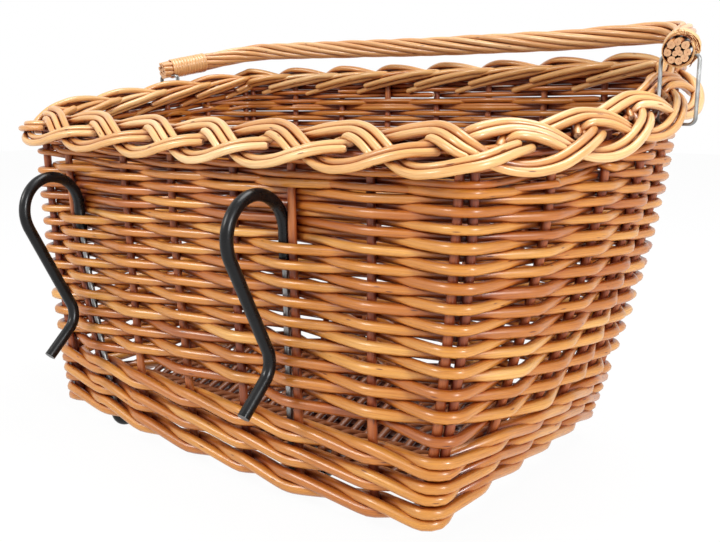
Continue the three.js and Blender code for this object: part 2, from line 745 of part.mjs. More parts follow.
const bowCorners = [tail, bowCorner, mirrored(bowCorner), mirrored(tail)];
const bowRoute = withSteps(rounded(bowCorners, handleBend), handleStep);
let travelled = 0;
const bundle = ringsAlong(bowRoute, 1, up).map((ring, i) => {
  travelled += i > 0 ? ring.centre.distanceTo(bowRoute[i - 1]) : 0;
  const angle = (2 * Math.PI * travelled) / handleTwistLength;
  const a = ring.a.clone().multiplyScalar(Math.cos(angle)).addScaledVector(ring.b, Math.sin(angle));
  const b = ring.b.clone().multiplyScalar(Math.cos(angle)).addScaledVector(ring.a, -Math.sin(angle));
  return { centre: ring.centre, a, b };
});
const lobed = regular(2 * handleLobes).map(([a, b], i) => {
  const radius = handleRadius + (i % 2 === 0 ? handleLobeDepth : -handleLobeDepth);
  return [a * radius, b * radius];
});
let bail = solidOf(rodThrough(bundle, lobed));
for (const x of [armReach, -armReach]) {
  const pinRadius = wireRadius + linkBoreGap;
  const pin = new THREE.CylinderGeometry(pinRadius, pinRadius, 4 * armRadius, boreSides);
  pin.rotateZ(Math.PI / 2).translate(x, 0, 0);
  bail = bail.subtract(solidOf(pin));
}
place(handle, "handle_bail", geometryOf(bail), willowBorder);

// Lashings: ribbed bands of cane wound round the two ends of the bundle.
const lashingProfile = [0.5, -0.5].map((end) => new THREE.Vector2(boreRadius, end * lashingLength));
for (let i = 0; i <= 2 * lashingRibs; i++) {
  const radius = lashingRadius - (i % 2 === 0 ? lashingRibDepth : 0);
  lashingProfile.push(new THREE.Vector2(radius, lashingLength * (i / (2 * lashingRibs) - 0.5)));
}
lashingProfile.push(lashingProfile[0].clone());
for (const { name, end } of pivots) {
  const direction = end > 0 ? armDirection : mirrored(armDirection);
  const start = end > 0 ? armEnd : mirrored(armEnd);
  const geometry = new THREE.LatheGeometry(lashingProfile, lashingSides);
  const band = place(handle, `handle_lashing_${name}`, geometry, caneLashing);
  band.quaternion.setFromUnitVectors(new THREE.Vector3(0, 1, 0), direction);
  band.position.copy(start).addScaledVector(direction, lashingStart + lashingLength / 2);
}

// The origin goes to the middle of the object's box, on the surface that it stands on.
const box = new THREE.Box3().setFromObject(wicker, true);
wicker.position.copy(box.getCenter(new THREE.Vector3())).negate().setZ(-box.min.z);

export default basket;
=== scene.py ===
import json
import math

import bpy
import numpy as np
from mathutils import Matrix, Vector


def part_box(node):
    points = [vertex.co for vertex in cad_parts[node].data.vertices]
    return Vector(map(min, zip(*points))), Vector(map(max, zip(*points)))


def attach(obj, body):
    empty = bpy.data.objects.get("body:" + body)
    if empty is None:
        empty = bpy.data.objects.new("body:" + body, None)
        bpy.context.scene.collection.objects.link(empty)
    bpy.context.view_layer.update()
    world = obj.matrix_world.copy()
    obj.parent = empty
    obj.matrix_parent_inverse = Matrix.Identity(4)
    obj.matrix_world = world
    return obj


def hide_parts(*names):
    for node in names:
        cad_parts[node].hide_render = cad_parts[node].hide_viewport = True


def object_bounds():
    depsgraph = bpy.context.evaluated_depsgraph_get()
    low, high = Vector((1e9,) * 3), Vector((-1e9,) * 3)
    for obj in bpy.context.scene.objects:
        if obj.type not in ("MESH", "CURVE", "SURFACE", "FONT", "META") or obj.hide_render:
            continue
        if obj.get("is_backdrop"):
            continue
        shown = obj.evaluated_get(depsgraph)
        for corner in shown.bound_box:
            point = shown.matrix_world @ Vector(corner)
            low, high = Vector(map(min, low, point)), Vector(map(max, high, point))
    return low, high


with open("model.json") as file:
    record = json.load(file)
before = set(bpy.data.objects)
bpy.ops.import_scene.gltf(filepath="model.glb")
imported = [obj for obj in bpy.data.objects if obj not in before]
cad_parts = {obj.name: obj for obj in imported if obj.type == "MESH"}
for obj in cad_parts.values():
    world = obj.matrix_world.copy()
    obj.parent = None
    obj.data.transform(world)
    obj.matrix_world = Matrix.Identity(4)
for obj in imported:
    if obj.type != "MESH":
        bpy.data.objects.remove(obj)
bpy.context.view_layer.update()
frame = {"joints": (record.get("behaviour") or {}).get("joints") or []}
rng = np.random.default_rng(7)
MM = 0.001
UP = np.array([0.0, 0.0, 1.0])
RIGHT = np.array([1.0, 0.0, 0.0])

# Outlines and heights of the wall, in millimetres from the middle of the base's underside.
BASE_LENGTH, BASE_DEPTH = 303.0, 180.0
HOOK_SIDE, BACK_SIDE = 340.0, 372.0
RIM_FRONT, RIM_BACK = 93.0, 122.0
RIGHT_BOW, LEFT_BOW, BACK_BOW = 23.0, 15.0, 21.0
HOOK_HEIGHT, BACK_HEIGHT = 170.0, 211.0
RIGHT_RISE, LEFT_RISE = 1.6, 0.75
LEFT_CORNER_RISE = 8.0
FOOT_BOW = 3.5
BOW_POWER, FLARE_POWER = 2.5, 1.6
STAKES_BELOW = [-110, -68, -21, 25, 67, 118]
STAKES_ABOVE = [-140.5, -80, -34, 19, 64, 116]
PAIR = 7.6
STAKE_R = 2.5
SKID_DEPTH = 11.5

# The frame's origin is under the middle of the object's box, so the wall's own is shifted.
stick_low, stick_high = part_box("base_stick_1")
SHIFT = np.array([
    (stick_low.x + stick_high.x) / 2 / MM,
    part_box("stake_03")[0].y / MM + RIM_FRONT + STAKE_R,
    SKID_DEPTH,
])


def lerp(a, b, t):
    return a + (b - a) * t


def unit(v):
    v = np.asarray(v, float)
    return v / np.linalg.norm(v, axis=-1, keepdims=True)


# s runs once round the basket in four sides: hook side, right end, back, left end.
def side_and_share(s):
    return int(math.floor(s)) % 4, s - math.floor(s)


def bow_at(u):
    return 1 - abs(2 * u - 1) ** BOW_POWER


def base_outline(s):
    side, u = side_and_share(s)
    across = [u - 0.5, 0.5, 0.5 - u, -0.5][side]
    along = [-0.5, u - 0.5, 0.5, 0.5 - u][side]
    bow = FOOT_BOW * bow_at(u) if side == 0 else 0.0
    return np.array([across * BASE_LENGTH, along * BASE_DEPTH - bow, 0.0])


def rim_outline(s):
    side, u = side_and_share(s)
    if side == 0:
        return np.array([(u - 0.5) * HOOK_SIDE, -RIM_FRONT, 0.0])
    if side == 2:
        return np.array([(0.5 - u) * BACK_SIDE, RIM_BACK + BACK_BOW * bow_at(u), 0.0])
    share = 1 - u if side == 3 else u
    x = lerp(HOOK_SIDE, BACK_SIDE, share) / 2 + (RIGHT_BOW if side == 1 else LEFT_BOW) * bow_at(u)
    return np.array([x if side == 1 else -x, lerp(-RIM_FRONT, RIM_BACK, share), 0.0])


def wall_height(s):
    side, u = side_and_share(s)
    corner = LEFT_CORNER_RISE * [(1 - u) ** 3, 0, 0, u**3][side]
    rise = [0, u**RIGHT_RISE, 1, (1 - u) ** LEFT_RISE][side]
    return corner + lerp(HOOK_HEIGHT, BACK_HEIGHT, rise)


# A stake is its foot, its head and its height. A station is one stake, or the two of a corner.
def stake_at(below, above):
    return base_outline(below), rim_outline(above), wall_height(above)


def stake_point(stake, z):
    """A point on a stake, which leans out most near its foot."""
    below, above, height = stake
    share = min(max(z / height, 0.0), 1.0)
    p = lerp(below, above, 1 - (1 - share) ** FLARE_POWER)
    p[2] = z
    return p


def corner_station(corner):
    sides = [BASE_LENGTH, BASE_DEPTH] * 2
    end = RIM_FRONT + RIM_BACK
    rims = [HOOK_SIDE, end, BACK_SIDE, end]
    last = (corner + 3) % 4
    half = PAIR / 2
    return [
        stake_at(last + 1 - half / sides[last], last + 1 - half / rims[last]),
        stake_at(corner + half / sides[corner], corner + half / rims[corner]),
    ]


def even_stations(side, count):
    places = [side + (i + 1) / (count + 1) for i in range(count)]
    return [[stake_at(place, place)] for place in places]


stations = [corner_station(0)]
for below, above in zip(STAKES_BELOW, STAKES_ABOVE):
    stations.append([stake_at(below / BASE_LENGTH + 0.5, above / HOOK_SIDE + 0.5)])
stations += [corner_station(1), *even_stations(1, 4), corner_station(2)]
stations += [*even_stations(2, 7), corner_station(3), *even_stations(3, 4)]
COUNT = len(stations)
NEAR_CORNER, FIRST_END, FAR_CORNER = 7, 8, 12

# Hook rods stand beside stakes of the hook side: (name, station, side of the stake, sideways
# lean of the hook from its exit to its tip).
HOOKS = [("left", 1, 1, 14.0), ("right", 5, -1, 4.0)]
ROD_R, SLEEVE_R = 2.0, 3.5
HOOK_TOP, HOOK_R = 138.0, 22.5
SLEEVE_FROM, FOOT_SLEEVE_TO = 118.0, 2
ROD_SPACING = STAKE_R + SLEEVE_R + 0.3
HALF_ROW = 3


def hook_reach(z):
    """How far the hook rod has left the wall at a height."""
    rise = min(max(z - HOOK_TOP, 0.0), HOOK_R)
    return HOOK_R - math.sqrt(HOOK_R**2 - rise**2)


def rod_point(hook, z):
    """A point on a hook rod inside the wall, beside its stake."""
    return stake_point(stations[hook[1]][0], z) + RIGHT * hook[2] * ROD_SPACING


def uprights(station, z):
    """What a row passes at a station: (point, radius) of its stakes and hook rod, left to right."""
    found = [(stake_point(stake, z), STAKE_R) for stake in stations[station]]
    for hook in HOOKS:
        if hook[1] == station and hook_reach(z - HALF_ROW) < ROD_R:
            sleeved = z + HALF_ROW > SLEEVE_FROM or z < FOOT_SLEEVE_TO
            one = (rod_point(hook, z), SLEEVE_R if sleeved else ROD_R)
            found = found + [one] if hook[2] > 0 else [one] + found
    return found


def outward_at(station, z, index):
    """The level direction out of the wall at one of a station's uprights."""
    here = uprights(station, z)
    before = here[index - 1][0] if index > 0 else uprights((station - 1) % COUNT, z)[-1][0]
    after = here[index + 1][0] if index < len(here) - 1 else uprights((station + 1) % COUNT, z)[0][0]
    arriving, leaving = here[index][0] - before, after - here[index][0]
    arriving[2] = leaving[2] = 0
    along = unit(unit(arriving) + unit(leaving))
    return np.array([along[1], -along[0], 0.0])


class Sink:
    """Gathers rods into one mesh, with what their materials read: a place in the grain, a tint
    for each rod, and how far inside the basket a surface lies, for painted inside shade."""

    def __init__(self):
        self.verts, self.faces, self.kinds = [], [], []
        self.grain, self.tint, self.inner = [], [], []
        self.count = 0

    def add(self, verts, faces, grain, tint, inner, kind=0):
        self.verts.append(verts)
        self.faces += [[i + self.count for i in f] for f in faces]
        self.kinds += [kind] * len(faces)
        self.grain.append(grain)
        self.tint.append(np.full(len(verts), tint))
        self.inner.append(np.full(len(verts), inner) if np.isscalar(inner) else inner)
        self.count += len(verts)

    def build(self, name, materials, body, nodes):
        mesh = bpy.data.meshes.new(name)
        verts = (np.concatenate(self.verts) + SHIFT) * MM
        mesh.from_pydata(verts.tolist(), [], self.faces)
        for label, kind, data in (
            ("grain", "FLOAT_VECTOR", np.concatenate(self.grain)),
            ("tint", "FLOAT", np.concatenate(self.tint)),
            ("inner", "FLOAT", np.concatenate(self.inner)),
        ):
            attribute = mesh.attributes.new(label, kind, "POINT")
            field = "vector" if kind == "FLOAT_VECTOR" else "value"
            attribute.data.foreach_set(field, data.astype(np.float32).ravel())
        for material in materials:
            mesh.materials.append(material)
        mesh.polygons.foreach_set("material_index", self.kinds)
        mesh.polygons.foreach_set("use_smooth", [k == 0 for k in self.kinds])
        mesh.update()
        obj = bpy.data.objects.new(name, mesh)
        bpy.context.scene.collection.objects.link(obj)
        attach(obj, body)
        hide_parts(*nodes)


def section_of(sides, squareness=1.0):
    angle = 2 * np.pi * np.arange(sides) / sides
    c, s = np.cos(angle), np.sin(angle)
    return np.sign(c) * np.abs(c) ** squareness, np.sign(s) * np.abs(s) ** squareness


GRAIN_LENGTH = 4000
ROUND_END = 0.72


def rod(
    sink, path, radius, tint=0.5, ref=UP, sides=8, closed=False, inner=0.0,
    aspect=1.0, squareness=1.0, round_ends=False,
):
    """Sweeps a section along a path. radius and inner may change along it. ref is where the
    section's first half-axis points, and aspect is the second one's share of it."""
    path = np.asarray(path, float)
    n = len(path)
    ahead = np.roll(path, -1, 0) - np.roll(path, 1, 0)
    if not closed:
        ahead[0], ahead[-1] = path[1] - path[0], path[-1] - path[-2]
    tangent = unit(ahead)
    ref = np.broadcast_to(ref, path.shape)
    a = unit(ref - (ref * tangent).sum(1, keepdims=True) * tangent)
    b = np.cross(tangent, a)
    radius = np.broadcast_to(radius, n).astype(float).copy()
    step = np.linalg.norm(np.diff(path, axis=0), axis=1)
    along = np.concatenate([[0], np.cumsum(step)]) + rng.uniform(0, GRAIN_LENGTH)
    if round_ends and not closed:
        radius[[0, -1]] *= ROUND_END
    ca, cb = section_of(sides, squareness)
    offset = ca[None, :, None] * a[:, None, :] + aspect * cb[None, :, None] * b[:, None, :]
    verts = path[:, None, :] + offset * radius[:, None, None]
    grain = np.empty((n, sides, 3))
    grain[..., 0] = along[:, None]
    grain[..., 1] = ca[None, :] * radius[:, None]
    grain[..., 2] = cb[None, :] * radius[:, None] * aspect
    spans = n if closed else n - 1
    i = np.arange(spans)[:, None]
    j = np.arange(sides)[None, :]
    k = (j + 1) % sides
    following = (i + 1) % n
    rings = i * sides + j, i * sides + k, following * sides + k, following * sides + j
    faces = np.stack(np.broadcast_arrays(*rings), -1).reshape(-1, 4)[:, ::-1].tolist()
    inner = np.repeat(np.broadcast_to(inner, n), sides) if not np.isscalar(inner) else inner
    sink.add(verts.reshape(-1, 3), faces, grain.reshape(-1, 3), tint, inner)
    if not closed:
        for end, way in ((0, 1), (n - 1, -1)):
            cap = np.concatenate([verts[end], path[end][None]])
            ring = [[m, (m + 1) % sides, sides][::way] for m in range(sides)]
            g = np.concatenate([grain[end], [[along[end], 0, 0]]])
            last = inner if np.isscalar(inner) else inner[end * sides]
            sink.add(cap, ring, g, tint, last, kind=1)


def smooth(t):
    return (1 - np.cos(np.pi * t)) / 2


# Materials.
def node(tree, kind, **values):
    made = tree.nodes.new(kind)
    for key, value in values.items():
        setattr(made, key, value)
    return made


def ramp(tree, stops, source):
    made = tree.nodes.new("ShaderNodeValToRGB")
    elements = made.color_ramp.elements
    while len(elements) < len(stops):
        elements.new(0.5)
    for element, (position, color) in zip(elements, stops):
        element.position = position
        element.color = (*color, 1)
    tree.links.new(source, made.inputs[0])
    return made.outputs[0]


def linear(r, g, b):
    """A display colour of 0 to 255 as the linear colour that a socket takes."""
    return tuple(
        ((c / 255 + 0.055) / 1.055) ** 2.4 if c > 10 else c / 255 / 12.92 for c in (r, g, b)
    )


def mixed(tree, factor, a, b, mode="MIX"):
    made = node(tree, "ShaderNodeMix", data_type="RGBA", blend_type=mode)
    for socket, value in ((made.inputs[0], factor), (made.inputs[6], a), (made.inputs[7], b)):
        if isinstance(value, (float, int)):
            socket.default_value = value
        elif isinstance(value, tuple):
            socket.default_value = (*value, 1)
        else:
            tree.links.new(value, socket)
    return made.outputs[2]


def computed(tree, operation, *values):
    made = node(tree, "ShaderNodeMath", operation=operation)
    for socket, value in zip(made.inputs, values):
        if isinstance(value, (float, int)):
            socket.default_value = value
        else:
            tree.links.new(value, socket)
    return made.outputs[0]


def noise(tree, coordinates, scale, detail=2.0, rough=0.5):
    mapping = node(tree, "ShaderNodeMapping")
    mapping.inputs["Scale"].default_value = scale
    tree.links.new(coordinates, mapping.inputs["Vector"])
    made = node(tree, "ShaderNodeTexNoise")
    made.inputs["Scale"].default_value = 1.0
    made.inputs["Detail"].default_value = detail
    made.inputs["Roughness"].default_value = rough
    tree.links.new(mapping.outputs[0], made.inputs["Vector"])
    return made.outputs["Fac"]


def fresh(name):
    material = bpy.data.materials.new(name)
    material.use_nodes = True
    tree = material.node_tree
    shader = next(n for n in tree.nodes if n.type == "BSDF_PRINCIPLED")
    return material, tree, shader


def bumped(tree, shader, height, strength, distance):
    bump = node(tree, "ShaderNodeBump")
    bump.inputs["Strength"].default_value = strength
    bump.inputs["Distance"].default_value = distance
    tree.links.new(height, bump.inputs["Height"])
    tree.links.new(bump.outputs[0], shader.inputs["Normal"])


def willow(name, palette, inside_shade, roughness=0.36, coat=0.35):
    """Peeled, varnished willow: a tint for each rod, long streaks and knots, and painted red-brown
    shade in gaps, crevices and inside the basket.
    """
    material, tree, shader = fresh(name)
    grain = node(tree, "ShaderNodeAttribute", attribute_name="grain").outputs["Vector"]
    tint = node(tree, "ShaderNodeAttribute", attribute_name="tint").outputs["Fac"]
    inner = node(tree, "ShaderNodeAttribute", attribute_name="inner").outputs["Fac"]
    slow = noise(tree, grain, (0.012, 0.05, 0.05), 2.0)
    change = computed(tree, "MULTIPLY", computed(tree, "SUBTRACT", slow, 0.5), 0.7)
    stops = [(i / (len(palette) - 1), linear(*c)) for i, c in enumerate(palette)]
    color = ramp(tree, stops, computed(tree, "ADD", tint, change))

    streaks = noise(tree, grain, (0.05, 1.6, 1.6), 3.0, 0.6)
    dark = ramp(tree, [(0.32, (0.70, 0.58, 0.46)), (0.62, (1, 1, 1))], streaks)
    color = mixed(tree, 0.8, color, dark, "MULTIPLY")

    cells = node(tree, "ShaderNodeTexVoronoi")
    cells.inputs["Scale"].default_value = 1.0
    mapping = node(tree, "ShaderNodeMapping")
    mapping.inputs["Scale"].default_value = (0.045, 0.26, 0.26)
    tree.links.new(grain, mapping.inputs["Vector"])
    tree.links.new(mapping.outputs[0], cells.inputs["Vector"])
    knots = ramp(tree, [(0.06, (0.2, 0.05, 0.02)), (0.11, (1, 1, 1))], cells.outputs["Distance"])
    color = mixed(tree, 0.85, color, knots, "MULTIPLY")

    # Painted shade: surfaces inside the basket are darkened a little towards the given inside tint.
    shaded = mixed(tree, 1.0, color, linear(*inside_shade), "MULTIPLY")
    color = mixed(tree, computed(tree, "MULTIPLY", inner, 0.1), color, shaded)
    # Painted shade in gaps and crevices: ambient occlusion darkens the colour towards dark red-brown.
    crevice_shade = node(tree, "ShaderNodeAmbientOcclusion", samples=4)
    crevice_shade.inputs["Distance"].default_value = 0.011
    stops = [(0.1, linear(120, 34, 8)), (0.45, linear(212, 148, 100)), (0.8, (1, 1, 1))]
    color = mixed(tree, 1.0, color, ramp(tree, stops, crevice_shade.outputs["AO"]), "MULTIPLY")

    tree.links.new(color, shader.inputs["Base Color"])
    shader.inputs["Roughness"].default_value = roughness
    shader.inputs["Coat Weight"].default_value = coat
    shader.inputs["Coat Roughness"].default_value = 0.16
    bumped(tree, shader, streaks, 0.25, 0.0004)
    return material


def cut_end(name):
    """Cut end of a rod: pale wood with a brown pith."""
    material, tree, shader = fresh(name)
    grain = node(tree, "ShaderNodeAttribute", attribute_name="grain").outputs["Vector"]
    parts = node(tree, "ShaderNodeSeparateXYZ")
    tree.links.new(grain, parts.inputs[0])
    squares = [computed(tree, "MULTIPLY", parts.outputs[i], parts.outputs[i]) for i in (1, 2)]
    radius = computed(tree, "SQRT", computed(tree, "ADD", *squares))
    rings = noise(tree, grain, (0.0, 1.5, 1.5), 2.0)
    shifted = computed(tree, "ADD", radius, computed(tree, "MULTIPLY", rings, 0.8))
    pith, pale = (0.12, linear(96, 56, 34)), (0.24, linear(196, 150, 112))
    outer, bark = (0.72, linear(208, 166, 126)), (0.95, linear(118, 66, 36))
    scaled = computed(tree, "MULTIPLY", shifted, 0.3)
    color = ramp(tree, [pith, pale, outer, bark], scaled)
    tree.links.new(color, shader.inputs["Base Color"])
    shader.inputs["Roughness"].default_value = 0.8
    bumped(tree, shader, rings, 0.4, 0.0005)
    return material


# Palettes from the darkest rods to the palest.
WEAVER = [(142, 68, 14), (178, 102, 32), (198, 127, 46), (214, 152, 68), (230, 180, 102)]
# The stakes' palette is darker and redder than the weavers': partly their own tone, partly painted
# shade where they show between the weavers.
STAKE = [(136, 68, 26), (166, 90, 38), (186, 112, 52), (200, 132, 68)]
BORDER = [(196, 130, 66), (216, 160, 94), (230, 184, 120), (240, 204, 150)]
# The base's palette is darker than the walls': painted shade for the base, which lies in shade inside
# the basket.
BASE = [(104, 54, 20), (134, 76, 32), (160, 98, 48)]
HANDLE = [(190, 128, 70), (210, 154, 96), (224, 174, 118), (236, 194, 142)]
CANE = [(206, 156, 92), (222, 180, 120), (234, 198, 142)]
# The third colour given to each is the painted shade tint for surfaces inside the basket.
weaver_mat = willow("willow_weaver", WEAVER, (196, 130, 104))
stake_mat = willow("willow_stake", STAKE, (200, 130, 96), 0.45, 0.2)
border_mat = willow("willow_border", BORDER, (196, 130, 100), 0.33, 0.4)
base_mat = willow("willow_base", BASE, (190, 130, 100), 0.5, 0.1)
handle_mat = willow("willow_handle", HANDLE, (196, 130, 100), 0.35, 0.35)
cane_mat = willow("cane_lashing", CANE, (200, 140, 110), 0.45, 0.2)
cut_mat = cut_end("rod_cut_end")
WOOD = (weaver_mat, cut_mat)


def steel_material():
    """Zinc-plated steel with dull patches."""
    material, tree, shader = fresh("zinc_steel")
    place = node(tree, "ShaderNodeTexCoord").outputs["Object"]
    patches = noise(tree, place, (90, 90, 90), 3.0)
    color = ramp(tree, [(0.3, linear(112, 112, 110)), (0.7, linear(186, 187, 186))], patches)
    tree.links.new(color, shader.inputs["Base Color"])
    shader.inputs["Metallic"].default_value = 1.0
    rough = ramp(tree, [(0.2, (0.25,) * 3), (0.8, (0.5,) * 3)], patches)
    tree.links.new(rough, shader.inputs["Roughness"])
    return material


def sleeve_material():
    """Black plastic sleeve, finely dimpled, with duller patches."""
    material, tree, shader = fresh("black_sleeve")
    place = node(tree, "ShaderNodeTexCoord").outputs["Object"]
    patches = noise(tree, place, (120, 120, 120), 3.0)
    color = ramp(tree, [(0.3, linear(6, 6, 7)), (0.75, linear(16, 16, 18))], patches)
    tree.links.new(color, shader.inputs["Base Color"])
    rough = ramp(tree, [(0.3, (0.22,) * 3), (0.75, (0.38,) * 3)], patches)
    tree.links.new(rough, shader.inputs["Roughness"])
    shader.inputs["Specular IOR Level"].default_value = 0.3
    bumped(tree, shader, noise(tree, place, (260, 260, 260), 2.0), 0.15, 0.0006)
    return material


steel_mat = steel_material()
sleeve_mat = sleeve_material()


FULL_SPAN, SPAN_STEPS = 32, 9
INNER_RANGE = 9


def woven(knots, straight=0.86):
    """A rod that passes uprights, by knots of (point, outward, offset). Willow runs nearly
    straight from one upright to the next and bends over them."""
    points, inner = [], []
    for (p, out_p, off_p), (q, out_q, off_q) in zip(knots[:-1], knots[1:]):
        gap = np.linalg.norm(q - p)
        count = max(2, int(round(SPAN_STEPS * min(1.0, gap / FULL_SPAN))))
        for k in range(count):
            t = k / count
            eased_t = lerp(smooth(t), t, straight)
            out = unit(lerp(out_p, out_q, t))
            offset = lerp(off_p, off_q, eased_t)
            place = lerp(p, q, t) + out * offset
            place[2] = lerp(p[2], q[2], eased_t)
            points.append(place)
            inner.append(offset)
    p, out_p, off_p = knots[-1]
    points.append(np.array([*(p + out_p * off_p)[:2], p[2]]))
    inner.append(off_p)
    points, inner = np.array(points), np.array(inner)
    points[1:-1] = (points[:-2] + 3 * points[1:-1] + points[2:]) / 5
    return points, np.clip(0.5 - inner / INNER_RANGE, 0.0, 1.0)


CLEARANCE = 0.15


def knots_at(station, z, side, radius):
    here = uprights(station, z)
    offset = side * (max(r for _, r in here) + radius + CLEARANCE)
    return [(p, outward_at(station, z, i), offset) for i, (p, _) in enumerate(here)]


# The rows get thinner and closer towards the rim.
ROWS = 25
ROW_FIRST, ROW_PITCH, ROW_CLOSING = 46.6, 6.0, 0.045
ROW_R, ROW_THINNING = 3.27, 0.033


def row_z(row):
    return ROW_FIRST + ROW_PITCH * row - ROW_CLOSING * row * (row - 1)


def row_radius(row):
    return ROW_R - ROW_THINNING * row


def row_side(row, station):
    """1 where a row passes outside a station, and -1 where it passes inside."""
    z = row_z(row)
    at_hook = any(hook[1] == station for hook in HOOKS)
    in_way = at_hook and hook_reach(z + HALF_ROW) > 0.3 and z - HALF_ROW < HOOK_TOP + HOOK_R
    return 1 if (row + station) % 2 == 1 and not in_way else -1


def tapered(path, radius, taper=0.1):
    share = np.linspace(0, 1, len(path))
    return radius * (1 + taper * (0.5 - share))


# Randing rows, in one group for each CAD weaver. A row is one or two rods, with their ends
# inside the basket.
GROUPS = 6
FIRST_TUCK, LAST_TUCK = 7, 9
for group in range(GROUPS):
    sink = Sink()
    for row in range(group * ROWS // GROUPS, (group + 1) * ROWS // GROUPS):
        z = row_z(row)
        wave = rng.uniform(0, 2 * np.pi)
        first = next(s for s in range(rng.integers(12, 22), COUNT * 2) if row_side(row, s % COUNT) < 0)
        lengths = [COUNT] if rng.random() < 0.35 else [13 + 2 * int(rng.integers(0, 2))]
        if lengths[0] < COUNT:
            lengths.append(COUNT - lengths[0])
        for length in lengths:
            radius = row_radius(row) * rng.uniform(0.92, 1.06)
            knots = []
            for n in range(first, first + length + 1):
                lift = 0.35 * math.sin(wave + n * 0.8) + rng.normal(0, 0.28)
                knots += knots_at(n % COUNT, z + lift, row_side(row, n % COUNT), radius)
            p, out, off = knots[-1]
            along = unit(p - knots[-2][0])
            knots.append((p + along * LAST_TUCK, out, off - 1.5))
            p, out, off = knots[0]
            along = unit(p - knots[1][0])
            knots.insert(0, (p + along * FIRST_TUCK, out, off - radius * 1.6))
            path, inner = woven(knots)
            tint = rng.normal(0.52, 0.17)
            rod(sink, path, tapered(path, radius), tint, inner=inner, sides=9, round_ends=True)
            first += length
    sink.build(f"weaver_rods_{group + 1}", WOOD, "basket", [f"weaver_{group + 1}"])

# Packing rows to and fro on the ends and the back. Each turns back where the rim is near.
PACK_FIRST, PACK_PITCH, PACK_R = 4.3, 4.35, 2.2
PACK_OVER, RIM_NEAR, TURN_REACH = 3, 5.0, 4.9


def pack_z(row):
    return row_z(ROWS - 1) + PACK_FIRST + row * PACK_PITCH


sink = Sink()
pack_rows = int((BACK_HEIGHT + PACK_OVER - pack_z(0)) / PACK_PITCH)
knots = []
here = FIRST_END
for row in range(pack_rows):
    rightward = row % 2 == 0
    step = 1 if rightward else -1
    z = pack_z(row)
    end = COUNT - 1 if rightward else FIRST_END
    while stations[end][0][2] + RIM_NEAR < pack_z(min(row + 1, pack_rows - 1)):
        end -= step
    for station in range(here, end + step, step):
        side = 1 if (row + station) % 2 == 0 else -1
        found = knots_at(station, z + rng.normal(0, 0.25), side, PACK_R)
        knots += found if rightward else found[::-1]
    if row < pack_rows - 1:
        stake = stations[end][-1 if rightward else 0]
        p = stake_point(stake, z + PACK_PITCH / 2)
        out = outward_at(end, z, len(stations[end]) - 1 if rightward else 0)
        along = np.array([-out[1], out[0], 0]) * step
        knots.append((p + along * TURN_REACH, out, 0.0))
    here = end
path, inner = woven(knots)
rod(sink, path, PACK_R, 0.5, inner=inner, sides=9, round_ends=True)

# Rows that follow the rim, behind the border. Only their insides and glimpses of them show.
RIM_ROWS, RIM_ROW_FIRST, RIM_ROW_PITCH, RIM_ROW_R = 6, -4.2, 3.9, 1.95
for row in range(RIM_ROWS):
    first = int(rng.integers(13, 20))
    knots = []
    for n in range(first, first + COUNT + 1):
        station = n % COUNT
        rim = stations[station][0][2]
        z = rim + RIM_ROW_FIRST + RIM_ROW_PITCH * row + rng.normal(0, 0.2)
        knots += knots_at(station, z, 1 if (row + n) % 2 else -1, RIM_ROW_R)
    path, inner = woven(knots)
    rod(sink, path, RIM_ROW_R, rng.normal(0.4, 0.1), inner=inner, sides=8, round_ends=True)
sink.build("packing_rods", WOOD, "basket", ["packing_weaver"])

# Three-rod wale at the foot: in front of two stations, behind the third, each stroke slanting
# down under the next one. The rounds step up on the back, next to the left corner.
WALE_R = 3.2
WALE_START = 19
WALE_FIRST, WALE_PITCH, WALE_DROP = 8.4, 13.0, 3.1
WALE_SAG, CORNER_SAG, END_LIFT = 5.6, 2.2, 2.0
SAG_OFF_MIDDLE, SAG_LOSS = 0.25, 0.2
WALE_TUCK, WALE_TUCK_IN = 14, 6.0


def foot_sag(station):
    """The wale hangs lower along the hook side, and higher on the right end."""
    if station > NEAR_CORNER:
        return -END_LIFT if station < FAR_CORNER else 0.0
    share = stake_point(stations[station][0], 0)[0] / BASE_LENGTH
    return CORNER_SAG + WALE_SAG * max(0.0, 1 - abs(2 * share - SAG_OFF_MIDDLE) ** BOW_POWER)


for strand in range(3):
    sink = Sink()
    for turn in range(3):
        knots = []
        for n in range(COUNT + 2):
            station = (WALE_START + n) % COUNT
            phase = (n + turn * COUNT - strand) % 3
            side = -1 if phase == 0 else 1
            drop = (0.0, WALE_DROP, -WALE_DROP)[phase]
            z = WALE_FIRST + WALE_PITCH * turn + drop - foot_sag(station) * (1 - SAG_LOSS * turn)
            knots += knots_at(station, z + rng.normal(0, 0.2), side, WALE_R)
        p, out, _ = knots[-1]
        knots.append((p + unit(p - knots[-2][0]) * WALE_TUCK, out, -WALE_TUCK_IN))
        path, inner = woven(knots, straight=0.8)
        radius = tapered(path, WALE_R * rng.uniform(0.95, 1.05), 0.06)
        rod(sink, path, radius, rng.normal(0.5, 0.16), inner=inner, sides=9, round_ends=True)
    name = f"foot_wale_{'abc'[strand]}"
    sink.build(f"{name}_rod", WOOD, "basket", [name])

# Stakes, one piece each.
STAKE_FOOT, STAKE_TOP = 1.5, 15.5
STAKE_POINTS, STAKE_WOBBLE = 24, 0.3
STAKE_MATS = (stake_mat, cut_mat)
for index, pair in enumerate(stations):
    for k, stake in enumerate(pair):
        sink = Sink()
        heights = np.linspace(STAKE_FOOT, stake[2] + STAKE_TOP, STAKE_POINTS)
        wobble = rng.uniform(0, 6.28, 2)
        path = np.array([stake_point(stake, z) for z in heights])
        path[:, 0] += STAKE_WOBBLE * np.sin(heights / 23 + wobble[0])
        path[:, 1] += STAKE_WOBBLE * np.sin(heights / 29 + wobble[1])
        radius = np.linspace(2.7, 2.35, STAKE_POINTS)
        rod(sink, path, radius, rng.normal(0.5, 0.15), ref=RIGHT, sides=10)
        name = f"{index + 1:02d}" + ("ab"[k] if len(pair) > 1 else "")
        sink.build(f"stake_rod_{name}", STAKE_MATS, "basket", [f"stake_{name}"])

